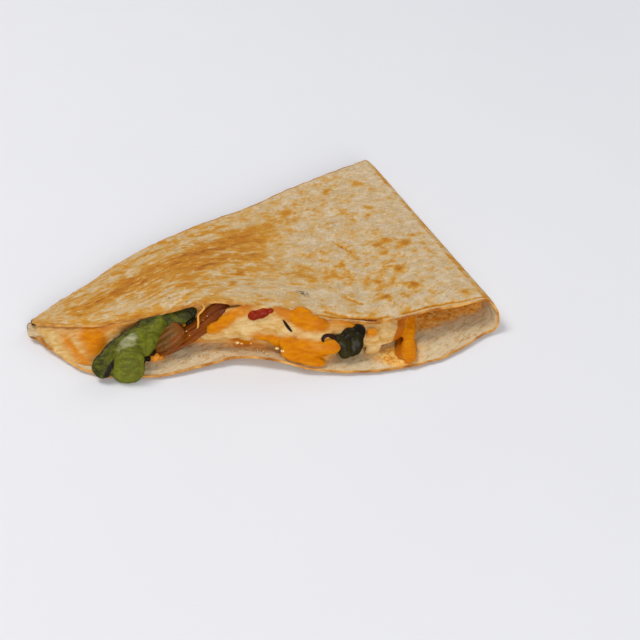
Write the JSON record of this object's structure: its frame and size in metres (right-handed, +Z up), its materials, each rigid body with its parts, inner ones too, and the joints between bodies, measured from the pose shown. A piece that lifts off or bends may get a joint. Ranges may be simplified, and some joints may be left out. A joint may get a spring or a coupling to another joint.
{
  "type": "quesadilla",
  "caption": "Folded flour tortilla wedge with melted cheese, green peppers and fried onion showing at its open front cut.",
  "frame": {"origin": "middle of the wedge's footprint box, on the surface that it lies on", "axes": "+X along the open front cut, from the pointed end to the fold; +Y from the open front cut to the corner at the back; +Z up through the thin way of the wedge"},
  "size_m": [0.1346, 0.112, 0.0157],
  "materials": {
    "tortilla": "griddled flour tortilla, cream with golden brown spots",
    "cheese": "melted orange and white cheese, oily gloss",
    "green_pepper": "fried green pepper, dark skin and light flesh",
    "dark_pepper": "fried green pepper skin, nearly black",
    "onion_petal": "translucent fried onion, browned at its rim",
    "onion_strip": "caramelised onion, glossy red-brown",
    "red_pepper": "fried red pepper, glossy"
  },
  "bodies": {
    "root": {"tortilla": "tortilla", "cheese": "cheese", "green_pepper": "green_pepper", "dark_pepper": "dark_pepper", "onion_petal": "onion_petal", "onion_strip": "onion_strip", "red_pepper": "red_pepper"}
  },
  "joints": []
}
